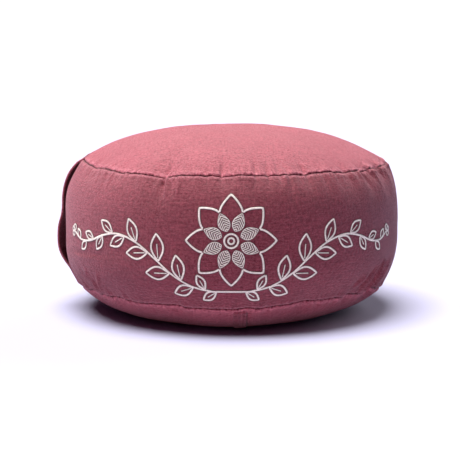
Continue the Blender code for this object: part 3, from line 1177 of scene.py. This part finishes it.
def makeLap():
    xs = np.linspace(lap["left"], lap["edge"] - lap["rise"] / 2, lap["columns"])
    rise = lap["rise"] * eased(np.clip((xs - lap["left"]) / lap["ramp"], 0, 1))
    rise -= lap["stitchDip"] * bump(xs - lap["topstitch"], lap["stitchDipWidth"])
    rise[0] = -0.3 * mm
    underLength = runAlong(outlineStretches()[2])
    underRadius = outlineStretches()[2][:, 0]
    loops = []
    mapped = []
    wear = []
    steps = lap["rows"]
    for step in range(steps + 1):
        along = math.sin(math.pi / 2 * (2 * step / steps - 1))
        fromEnd = cushion["lowRadius"] * (1 - abs(along))
        shown = 1 - max(0, 1 - fromEnd / lap["endTuck"]) ** 2
        loop = []
        for x, height in zip(xs, rise):
            hit, normal = lapPlace(x, along)
            quilt = lap["quilt"] * noise.noise(Vector((x * 180, along * 20, 3)))
            loop.append(hit + normal * ((height + quilt + 0.4 * mm) * shown - 0.4 * mm))
        edgeHit, edgeNormal = lapPlace(lap["edge"], along)
        sway = lap["edgeSway"] * noise.noise(Vector((0, along * 9, 6)))
        loop.append(edgeHit + edgeNormal * (lap["rise"] * 0.72 * shown) + Vector((sway - 0.12 * mm, 0, 0)))
        loop.append(edgeHit + edgeNormal * (lap["rise"] * 0.35 * shown) + Vector((sway, 0, 0)))
        loop.append(edgeHit - edgeNormal * (0.4 * mm) + Vector((sway - 0.25 * mm, 0, 0)))
        leftHit, leftNormal = lapPlace(lap["left"], along)
        loop.append(leftHit - leftNormal * (0.8 * mm))
        for point in loop:
            point.z = max(point.z, 0.05 * mm)
            radius = math.hypot(point.x, point.y)
            away = underLength[-1] - np.interp(-radius, -underRadius, underLength)
            mapped.append((point.x * away / radius, point.y * away / radius))
        wear.extend([0.0] * (len(xs) - 2) + [0.5, 0.9, 0.9, 0.2, 0, 0])
        loops.append(loop)
    mesh = tubeMesh("bottomLap", loops)
    mapTube(mesh, mapped)
    mesh.materials.append(lapLinen)
    pointValues(mesh, "wearAndPaintedLight", wear)
    return newObject("bottomLap", mesh)


bottomLap = makeLap()
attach(bottomLap, "root")
print("bottom lap made")


# ---- the carry strap

strap = {
    "turn": -92,
    "width": 42 * mm,
    "thickness": 1.8 * mm,
    "clearance": 0.35 * mm,
    "rows": 120,
    "columns": 27,
    "edgeSteps": 6,
    "stitchInset": 3.4 * mm,
    "stitchDip": 0.3 * mm,
    "stitchDipWidth": 0.75 * mm,
    "rearLean": 7 * mm,
    "topBow": 2.2 * mm,
    "bowAt": 0.16,
    "endTuck": 3.2 * mm,
    "endReach": 6 * mm,
    "puff": 0.14 * mm,
    "ripple": 0.2 * mm,
}
strapAngle = math.radians(strap["turn"])
strapOutward = Vector((math.sin(strapAngle), -math.cos(strapAngle), 0))
strapSideways = Vector((math.cos(strapAngle), math.sin(strapAngle), 0))


def reachFrom(faces, aside, height):
    start = strapOutward * 0.3 + strapSideways * aside + Vector((0, 0, height))
    hit = faces.ray_cast(start, -strapOutward)[0]
    return hit.dot(strapOutward) if hit else 0


def strapFace():
    # The strap's outer face, read from its solid: evenly spaced rings from the top seam down.
    solid = facesOf(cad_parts["carry_strap"])
    low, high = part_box("carry_strap")
    heights = np.linspace(high.z - 0.6 * mm, low.z + 0.6 * mm, 240)
    reaches = np.array([reachFrom(solid, 0, height) for height in heights])
    run = runAlong(np.column_stack((heights, reaches)))
    rings = np.interp(np.linspace(0, run[-1], strap["rows"]), run, heights)
    half = strap["width"] / 2
    inner = half - strap["thickness"] / 2
    asides = np.linspace(-inner, inner, strap["columns"])
    face = np.empty((len(rings), len(asides), 3))
    for ring, height in enumerate(rings):
        share = ring / (len(rings) - 1)
        bulge = math.sin(math.pi * share) ** 0.5
        bow = float(bump(share - strap["bowAt"], 0.14))
        fromEnd = min(share, 1 - share) * run[-1]
        tuck = strap["endTuck"] * max(0, 1 - fromEnd / strap["endReach"]) ** 2
        for column, aside in enumerate(asides):
            held = reachFrom(coverFaces, aside, height) + strap["clearance"] + strap["thickness"]
            lean = strap["rearLean"] * eased(0.5 - 0.5 * aside / inner) * bulge
            reach = max(reachFrom(solid, aside, height) - lean + strap["topBow"] * bow, held) - tuck
            face[ring, column] = strapOutward * reach + strapSideways * aside + Vector((0, 0, height))
    face[:, :, :2] = blurredAcross(face)[:, :, :2]
    return face, asides, run[-1]


def blurredAcross(face):
    # Softens small steps in the rows of points, without moving the outermost ones along the strap.
    soft = face.copy()
    for _ in range(3):
        soft[1:-1] = 0.25 * soft[:-2] + 0.5 * soft[1:-1] + 0.25 * soft[2:]
    return soft


def makeStrap():
    face, asides, length = strapFace()
    down = np.gradient(face, axis=0)
    across = np.gradient(face, axis=1)
    normals = np.cross(down, across)
    normals /= np.linalg.norm(normals, axis=2, keepdims=True)
    if (normals[len(face) // 2, len(asides) // 2] * np.array(strapOutward)).sum() < 0:
        normals = -normals
    half = strap["thickness"] / 2
    inset = strap["width"] / 2 - strap["stitchInset"]
    relief = strap["puff"] * bump(asides, inset * 0.8)
    relief = relief + strap["puff"] * bump(np.abs(asides) - inset - 2 * mm, 1 * mm)
    relief -= strap["stitchDip"] * bump(np.abs(asides) - inset, strap["stitchDipWidth"])
    loops = []
    mapped = []
    wear = []
    lines = {-1: [], 1: []}
    for ring, row in enumerate(face):
        place = length * ring / (len(face) - 1)
        middle = row - normals[ring] * half
        ripple = [strap["ripple"] * noise.noise(Vector((aside * 60, place * 75, 1))) for aside in asides]
        outer = row + normals[ring] * (relief + ripple)[:, None]
        inner = row - normals[ring] * (2 * half + relief)[:, None]
        loop = [Vector(point) for point in outer]
        spots = [(aside, place) for aside in asides]
        for step in range(1, strap["edgeSteps"]):
            angle = math.pi * step / strap["edgeSteps"]
            loop.append(Vector(middle[-1] + normals[ring, -1] * half * math.cos(angle))
                        + strapSideways * half * math.sin(angle))
            spots.append((asides[-1] + half * angle, place))
        loop.extend(Vector(point) for point in inner[::-1])
        spots.extend((2 * asides[-1] + math.pi * half - aside, place) for aside in asides[::-1])
        for step in range(1, strap["edgeSteps"]):
            angle = math.pi * step / strap["edgeSteps"]
            loop.append(Vector(middle[0] - normals[ring, 0] * half * math.cos(angle))
                        - strapSideways * half * math.sin(angle))
            spots.append((asides[0] - half * (math.pi - angle), place))
        loops.append(loop)
        mapped.extend(spots)
        rim = [0.75 * float(bump(abs(aside) - strap["width"] / 2, 1.5 * mm)) for aside in asides]
        edge = [0.9] * (strap["edgeSteps"] - 1)
        wear.extend(rim + edge + rim + edge)
        for side, line in lines.items():
            column = int(np.argmin(np.abs(asides - side * inset)))
            if 3 <= ring < len(face) - 3:
                line.append((Vector(outer[column]), Vector(normals[ring, column])))
    mesh = tubeMesh("strapCloth", loops)
    mapTube(mesh, mapped)
    mesh.materials.append(strapLinen)
    pointValues(mesh, "wearAndPaintedLight", wear)
    return newObject("strapCloth", mesh), list(lines.values()), length


strapCloth, strapLines, strapLength = makeStrap()
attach(strapCloth, "root")
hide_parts("carry_strap")
print("strap made, length along it", round(strapLength / mm, 1), "mm")


# ---- stitches, laid along lines by Geometry Nodes

stitchKinds = {
    "satin": {
        "Pitch": 0.41 * mm,
        "Stitch length": 2.2 * mm,
        "Thread radius": 0.225 * mm,
        "Arch": 0.55 * mm,
        "Sink": 0.30 * mm,
        "Slant": math.radians(24),
        "Jitter": math.radians(5),
        "Unevenness": 0.07,
        "Seed": 3,
    },
    # Laid in near-black thread as painted shadow lines.
    "outline": {
        "Pitch": 2.2 * mm,
        "Stitch length": 2.7 * mm,
        "Thread radius": 0.32 * mm,
        "Arch": 0.12 * mm,
        "Sink": 0.10 * mm,
        "Slant": math.radians(90),
        "Jitter": math.radians(2),
        "Unevenness": 0.05,
        "Seed": 5,
    },
    "running": {
        "Pitch": 3.1 * mm,
        "Stitch length": 2.5 * mm,
        "Thread radius": 0.26 * mm,
        "Arch": 0.22 * mm,
        "Sink": 0.25 * mm,
        "Slant": math.radians(90),
        "Jitter": math.radians(3),
        "Unevenness": 0.06,
        "Seed": 8,
    },
}


def stitchTree():
    # Lays one arched thread across or along a line at every pitch. A line carries the cloth's normal and a
    # width factor.
    tree = bpy.data.node_groups.new("stitchesAlongLines", "GeometryNodeTree")

    def socket(label, kind, side="INPUT"):
        return tree.interface.new_socket(label, in_out=side, socket_type="NodeSocket" + kind).identifier

    socket("Geometry", "Geometry")
    sockets = {label: socket(label, "Int" if label == "Seed" else "Float") for label in stitchKinds["satin"]}
    sockets["Thread"] = socket("Thread", "Material")
    socket("Geometry", "Geometry", "OUTPUT")
    build = Nodes(tree)
    given = build.add("NodeGroupInput").outputs
    result = build.add("NodeGroupOutput")

    lines = build.put("GeometryNodeMeshToCurve", {"Mesh": given["Geometry"]})
    spots = {"Curve": lines.outputs["Curve"], "Length": given["Pitch"]}
    spots = build.put("GeometryNodeResampleCurve", spots, mode="LENGTH")

    def carried(name, kind):
        made = build.put("GeometryNodeInputNamedAttribute", {"Name": name}, data_type=kind)
        return made.outputs["Attribute"]

    facing = {
        "Primary Axis": carried("clothNormal", "FLOAT_VECTOR"),
        "Secondary Axis": build.add("GeometryNodeInputTangent").outputs["Tangent"],
    }
    facing = build.put("FunctionNodeAxesToRotation", facing, primary_axis="Z", secondary_axis="X")

    def chance(low, high, seedStep):
        made = build.add("FunctionNodeRandomValue", data_type="FLOAT")
        shown = [entry for entry in made.inputs if entry.enabled]
        build.plug(shown[0], low)
        build.plug(shown[1], high)
        build.plug(made.inputs["Seed"], build.plus(given["Seed"], float(seedStep)))
        return next(entry for entry in made.outputs if entry.enabled)

    lean = chance(build.times(given["Jitter"], -1.0), given["Jitter"], 0)
    swivel = {"Axis": (0, 0, 1), "Angle": build.plus(given["Slant"], lean)}
    swivel = build.put("FunctionNodeAxisAngleToRotation", swivel)
    turned = {"Rotation": facing.outputs["Rotation"], "Rotate By": swivel.outputs["Rotation"]}
    turned = build.put("FunctionNodeRotateRotation", turned, rotation_space="LOCAL")

    half = build.times(given["Stitch length"], 0.5)
    sunk = build.times(given["Sink"], -1.0)
    apex = build.plus(build.times(given["Arch"], 2.0), given["Sink"])
    bow = build.put("GeometryNodeCurveQuadraticBezier", {"Resolution": 4})
    for label, y, z in (("Start", build.times(half, -1.0), sunk), ("Middle", 0.0, apex), ("End", half, sunk)):
        build.plug(bow.inputs[label], build.put("ShaderNodeCombineXYZ", {"Y": y, "Z": z}).outputs[0])
    section = {"Resolution": 5, "Radius": given["Thread radius"]}
    section = build.put("GeometryNodeCurvePrimitiveCircle", section)
    strand = {"Curve": bow.outputs[0], "Profile Curve": section.outputs["Curve"], "Fill Caps": True}
    strand = build.put("GeometryNodeCurveToMesh", strand)

    shortest = build.math("SUBTRACT", 1.0, given["Unevenness"])
    stretchBy = chance(shortest, build.plus(1.0, given["Unevenness"]), 1)
    reach = build.times(carried("lineWidth", "FLOAT"), stretchBy)
    size = build.put("ShaderNodeCombineXYZ", {"X": 1, "Y": reach, "Z": 1})
    placed = build.put("GeometryNodeInstanceOnPoints", {
        "Points": spots.outputs["Curve"],
        "Instance": strand.outputs["Mesh"],
        "Rotation": turned.outputs["Rotation"],
        "Scale": size.outputs[0],
    })

    toned = {"Geometry": placed.outputs["Instances"], "Name": "threadTone", "Value": chance(0.0, 1.0, 2)}
    toned = build.put("GeometryNodeStoreNamedAttribute", toned, data_type="FLOAT", domain="INSTANCE")
    real = build.put("GeometryNodeRealizeInstances", {"Geometry": toned.outputs["Geometry"]})
    dyed = {"Geometry": real.outputs["Geometry"], "Material": given["Thread"]}
    dyed = build.put("GeometryNodeSetMaterial", dyed)
    build.plug(result.inputs["Geometry"], dyed.outputs["Geometry"])
    return tree, sockets


stitches, stitchSockets = stitchTree()


def sewLines(name, lines, kind, thread):
    # Each line is (points, normals, width factor, closed). The result is one plain mesh of threads.
    verts = []
    edges = []
    normals = []
    widths = []
    for points, lineNormals, width, closed in lines:
        first = len(verts)
        verts.extend(tuple(point) for point in points)
        normals.extend(tuple(normal) for normal in lineNormals)
        widths.extend([width] * len(points))
        edges.extend((first + step, first + step + 1) for step in range(len(points) - 1))
        if closed:
            edges.append((len(verts) - 1, first))
    guideMesh = bpy.data.meshes.new(name + "Lines")
    guideMesh.from_pydata(verts, edges, [])
    field = guideMesh.attributes.new("clothNormal", "FLOAT_VECTOR", "POINT")
    field.data.foreach_set("vector", np.array(normals, dtype=np.float32).ravel())
    pointValues(guideMesh, "lineWidth", widths)
    guide = newObject(name + "Lines", guideMesh)
    modifier = guide.modifiers.new("stitches", "NODES")
    modifier.node_group = stitches
    for label, value in stitchKinds[kind].items():
        modifier[stitchSockets[label]] = value
    modifier[stitchSockets["Thread"]] = thread
    mesh = bpy.data.meshes.new_from_object(guide.evaluated_get(bpy.context.evaluated_depsgraph_get()))
    bpy.data.objects.remove(guide)
    bpy.data.meshes.remove(guideMesh)
    mesh.name = name
    mesh.shade_smooth()
    print(name, "has", len(mesh.polygons), "faces")
    return newObject(name, mesh)


strapStitches = sewLines(
    "strapStitches",
    [([point for point, _ in line], [normal for _, normal in line], 1.0, False) for line in strapLines],
    "running",
    roseThread,
)
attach(strapStitches, "root")


def lapLine(x, height):
    points = []
    normals = []
    for step in range(121):
        hit, normal = lapPlace(x, math.sin(math.pi / 2 * (step / 60 - 1)) * 0.985)
        point = hit + normal * height
        point.z = max(point.z, 0.5 * mm)
        points.append(point)
        normals.append(normal)
    return points, normals, 1.0, False


def joined(first, second):
    with bpy.context.temp_override(active_object=first, selected_editable_objects=[first, second]):
        bpy.ops.object.join()
    return first


# A row of topstitching near the lap's edge, and a near-black thread along the edge that paints the shadow of
# its step.
topstitch = lapLine(lap["topstitch"], lap["rise"] - lap["stitchDip"])
lapStitches = sewLines("lapStitches", [topstitch], "running", roseThread)
edgeShadowLine = lapLine(lap["edge"] + 0.55 * mm, 0.35 * mm)
joined(lapStitches, sewLines("lapEdgeStitches", [edgeShadowLine], "outline", shadowThread))
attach(lapStitches, "root")


# ---- embroidery: an open rosette over a leafy garland, drawn in millimetres along the band and up it

embroidery = {
    "rosetteHeight": 91.0,
    "rings": (6.3, 2.7),
    "innerPetals": 8,
    "innerFrom": 9.6,
    "innerTo": 26.5,
    "innerHalfWidth": 5.2,
    "outerFrom": 14.5,
    "outerTo": 41.0,
    "outerHalfWidth": 10.4,
    "fillPitch": 2.5,
    "fillWidth": 0.58,
    "thinWidth": 0.8,
    "lineSpacing": 1.1,
    "veinShare": (0.12, 0.62),
    "berryRadius": 2.5,
    "liftOffCloth": 0.04,
    "shadowLineReach": 1.05,
}

# The garland's stem on the right, from under the rosette outwards. The left side is its mirror image.
garlandStops = (
    (0, 44.0), (19, 44.5), (38, 49), (55, 59), (72, 73), (91, 86),
    (112, 92), (132, 89), (151, 82), (169, 81), (182, 87),
)
# Its leaves: distance along the stem, side (1 above, -1 below), length, half width, angle off the stem.
garlandLeaves = (
    (13, -1, 15, 3.9, 34),
    (24, 1, 15, 3.8, 52),
    (35, -1, 20, 5.0, 38),
    (48, 1, 23, 5.6, 48),
    (60, -1, 24, 5.9, 40),
    (75, 1, 25, 6.0, 46),
    (88, -1, 23, 5.6, 42),
    (103, 1, 22, 5.3, 42),
    (117, -1, 20, 4.9, 42),
    (132, 1, 18, 4.5, 42),
    (146, -1, 16, 4.1, 40),
    (160, 1, 14, 3.7, 40),
    (173, -1, 12, 3.3, 40),
    (184, 1, 10, 2.9, 42),
)


def smoothPath(stops, spacing):
    # A smooth line through its stops, with points evenly spaced.
    stops = np.array(stops, dtype=float)
    padded = np.vstack((2 * stops[0] - stops[1], stops, 2 * stops[-1] - stops[-2]))
    t = np.linspace(0, 1, 24, endpoint=False)[:, None]
    pieces = []
    for before, start, end, after in zip(padded, padded[1:], padded[2:], padded[3:]):
        curve = (2 * start + (end - before) * t + (2 * before - 5 * start + 4 * end - after) * t ** 2
                 + (3 * start - before - 3 * end + after) * t ** 3)
        pieces.append(curve / 2)
    return evenly(np.vstack(pieces + [stops[-1:]]), spacing)


def evenly(line, spacing):
    run = runAlong(line)
    places = np.linspace(0, run[-1], max(3, round(run[-1] / spacing) + 1))
    return np.column_stack((np.interp(places, run, line[:, 0]), np.interp(places, run, line[:, 1])))


def direction(heading):
    return np.array((math.cos(heading), math.sin(heading)))


def ringAround(centre, radius, corners):
    circle = np.linspace(0, 2 * math.pi, corners, endpoint=False)
    return centre + radius * np.column_stack((np.cos(circle), np.sin(circle)))


def leafSides(base, heading, length, halfWidth, blunt):
    # Left side up and right side back: pointed at both ends, or blunter towards the tip.
    share = np.linspace(0, 1, 40)
    wide = halfWidth * np.sin(math.pi * share ** (1 / blunt)) ** (1 / blunt ** 0.5)
    axis = direction(heading)
    side = np.array((-axis[1], axis[0]))
    middle = np.array(base) + np.outer(share * length, axis)
    left = middle + np.outer(wide, side)
    right = middle - np.outer(wide, side)
    return np.vstack((left, right[-2:0:-1]))


def chevronRows(base, heading, length, halfWidth, blunt):
    # Rows of fill, each one a flat-topped V that points to the tip.
    axis = direction(heading)
    side = np.array((-axis[1], axis[0]))
    rows = []
    place = embroidery["fillPitch"] * 0.9
    while place < length + halfWidth:
        arms = {}
        for hand in (-1, 1):
            arm = []
            out = 0.0
            while True:
                at = place - out
                if at <= 0.03 * length:
                    break
                share = at / length
                bulge = math.sin(math.pi * min(share, 1) ** (1 / blunt))
                if share < 1 and out <= halfWidth * bulge ** (1 / blunt ** 0.5):
                    arm.append(np.array(base) + axis * at + side * hand * out)
                elif arm:
                    break
                out += 0.45
            arms[hand] = arm
        if len(arms[1]) > 2:
            if place < length:
                rows.append(np.array(arms[-1][::-1] + arms[1][1:]))
            else:
                rows.extend((np.array(arms[-1]), np.array(arms[1])))
        place += embroidery["fillPitch"]
    return rows


def insideOf(point, outline):
    x, y = point
    inside = False
    for (x1, y1), (x2, y2) in zip(outline, np.roll(outline, -1, axis=0)):
        if (y1 > y) != (y2 > y) and x < (x2 - x1) * (y - y1) / (y2 - y1) + x1:
            inside = not inside
    return inside


def shownRuns(line, covers):
    # The parts of a closed line that no shape in front hides.
    shown = [not any(insideOf(point, outline) for outline in covers) for point in line]
    if all(shown):
        return [(line, True)]
    start = shown.index(False)
    runs = []
    current = []
    for step in range(len(line) + 1):
        index = (start + step) % len(line)
        if shown[index] and step < len(line):
            current.append(line[index])
        elif len(current) > 2:
            runs.append((np.array(current), False))
            current = []
        else:
            current = []
    return runs


def drawRosette():
    e = embroidery
    centre = np.array((0, e["rosetteHeight"]))
    strokes = []
    for radius in e["rings"]:
        strokes.append((ringAround(centre, radius, 48), 1.0, True))
    fronts = []
    step = 2 * math.pi / e["innerPetals"]
    for number in range(e["innerPetals"]):
        heading = math.pi / 2 + step * (number + 0.5)
        base = centre + e["innerFrom"] * direction(heading)
        shape = (base, heading, e["innerTo"] - e["innerFrom"], e["innerHalfWidth"], 1.25)
        outline = evenly(leafSides(*shape), e["lineSpacing"])
        wider = (base - 1.2 * direction(heading), heading, shape[2] + 2.4, shape[3] + 1.1, 1.25)
        fronts.append(leafSides(*wider))
        strokes.append((outline[:-1], 0.45, True))
        for row in chevronRows(*shape):
            strokes.append((row, e["fillWidth"], False))
    for number in range(e["innerPetals"]):
        heading = math.pi / 2 + step * number
        base = centre + e["outerFrom"] * direction(heading)
        outline = leafSides(base, heading, e["outerTo"] - e["outerFrom"], e["outerHalfWidth"], 1.3)
        for run, closed in shownRuns(evenly(outline, 0.6), fronts):
            strokes.append((evenly(run, e["lineSpacing"]), 1.0, closed))
    return strokes


def drawGarland(hand):
    e = embroidery
    stem = smoothPath(garlandStops, e["lineSpacing"])
    run = runAlong(stem)
    strokes = [(stem, 1.0, False)]

    def stemAt(distance):
        return np.array((np.interp(distance, run, stem[:, 0]), np.interp(distance, run, stem[:, 1])))

    for distance, side, length, halfWidth, angle in garlandLeaves:
        place = stemAt(distance)
        ahead = stemAt(distance + 2)
        heading = math.atan2(*(ahead - place)[::-1]) + side * math.radians(angle)
        axis = direction(heading)
        base = place + axis * 1.0
        outline = evenly(leafSides(base, heading, length, halfWidth, 1.0), e["lineSpacing"])
        strokes.append((outline[:-1], 1.0, True))
        if length > 13:
            low, high = e["veinShare"]
            vein = np.vstack((base + axis * length * low, base + axis * length * high))
            strokes.append((evenly(vein, e["lineSpacing"]), e["thinWidth"] * 0.72, False))
    end = stem[-1]
    heading = math.atan2(*(stem[-1] - stem[-3])[::-1])
    for turn in (-62, 0, 62):
        middle = end + (e["berryRadius"] + 1.3) * direction(heading + math.radians(turn))
        strokes.append((ringAround(middle, e["berryRadius"], 20), e["thinWidth"], True))
    return [(line * np.array((hand, 1)), width, closed) for line, width, closed in strokes]


def onBand(across, up):
    # The cover's surface at a distance along the band from the front and a height, both in mm.
    turn = across * mm / cushion["widestRadius"]
    outward = Vector((math.sin(turn), -math.cos(turn), 0))
    hit, normal, *_ = coverFaces.ray_cast(outward * 0.3 + Vector((0, 0, up * mm)), -outward)
    return hit + normal * embroidery["liftOffCloth"] * mm, normal


def laidOnBand(line, width, closed):
    placed = [onBand(across, up) for across, up in line]
    normals = [sum((placed[max(0, min(len(placed) - 1, i + k))][1] for k in (-2, -1, 0, 1, 2)), Vector())
               for i in range(len(placed))]
    return [point for point, _ in placed], [normal.normalized() for normal in normals], width, closed


def shadowLinesBeside(line, width, closed):
    # The two lines just outside a stroke's edges, where near-black thread paints the stroke's shadow on the
    # cloth.
    if closed:
        ahead = np.roll(line, -1, axis=0) - np.roll(line, 1, axis=0)
    else:
        ahead = np.gradient(line, axis=0)
    side = np.column_stack((-ahead[:, 1], ahead[:, 0]))
    side /= np.linalg.norm(side, axis=1, keepdims=True)
    reach = width * stitchKinds["satin"]["Stitch length"] / mm / 2 * embroidery["shadowLineReach"]
    return [(line + side * reach * hand, 1.0, closed) for hand in (-1, 1)]


def embroider(name, strokes):
    thing = sewLines(name, [laidOnBand(*stroke) for stroke in strokes], "satin", silver)
    # Painted shadow: near-black thread along both sides of every stroke.
    edges = [edge for stroke in strokes for edge in shadowLinesBeside(*stroke)]
    joined(thing, sewLines(name + "Edges", [laidOnBand(*edge) for edge in edges], "outline", shadowThread))
    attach(thing, "root")
    return thing


embroider("rosetteThreads", drawRosette())
embroider("rightGarlandThreads", drawGarland(1))
embroider("leftGarlandThreads", drawGarland(-1))
